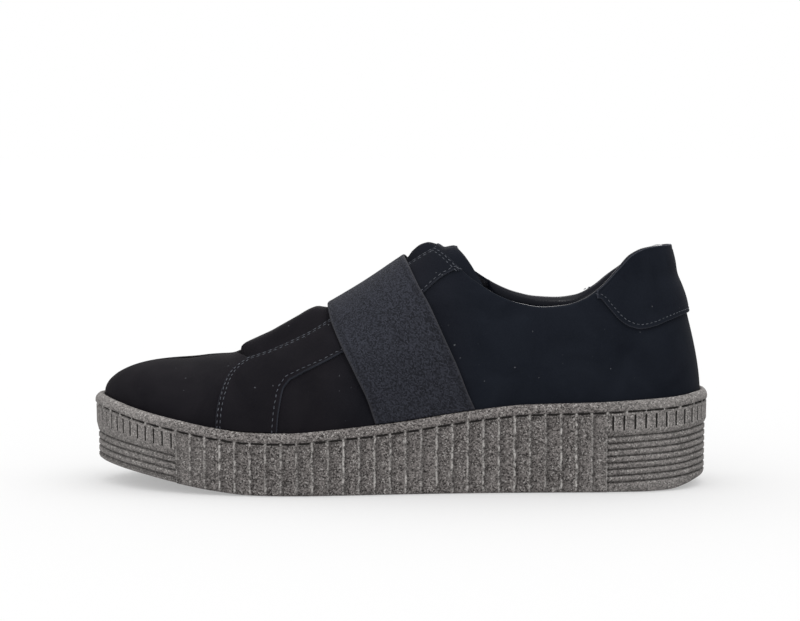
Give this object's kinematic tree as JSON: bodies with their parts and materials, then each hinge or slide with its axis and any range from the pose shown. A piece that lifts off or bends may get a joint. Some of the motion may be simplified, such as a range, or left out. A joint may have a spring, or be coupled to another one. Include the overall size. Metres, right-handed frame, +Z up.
{
  "type": "low-top slip-on sneaker",
  "caption": "Low-top slip-on sneaker with a thick ribbed cup sole, raised facings, padded tongue, heel overlay and a wide elastic band over the instep, left shoe",
  "frame": {"origin": "Middle of the bounding box, on the floor under the sole.", "axes": "+X towards the heel, toe towards -X, +Y towards the inner side of the foot, +Z up."},
  "size_m": [0.2771, 0.0981, 0.1081],
  "materials": {
    "rubber_grey": "speckled matte moulded rubber",
    "footbed_black": "plain matte footbed cover",
    "nubuck_black": "matte napped leather",
    "elastic_grey": "fine woven elastic"
  },
  "bodies": {
    "root": {"outsole": "rubber_grey", "insole": "footbed_black", "upper": "nubuck_black", "tongue": "nubuck_black", "eyestay_lateral": "nubuck_black", "eyestay_medial": "nubuck_black", "heel_tab": "nubuck_black", "strap": "elastic_grey"}
  },
  "joints": []
}
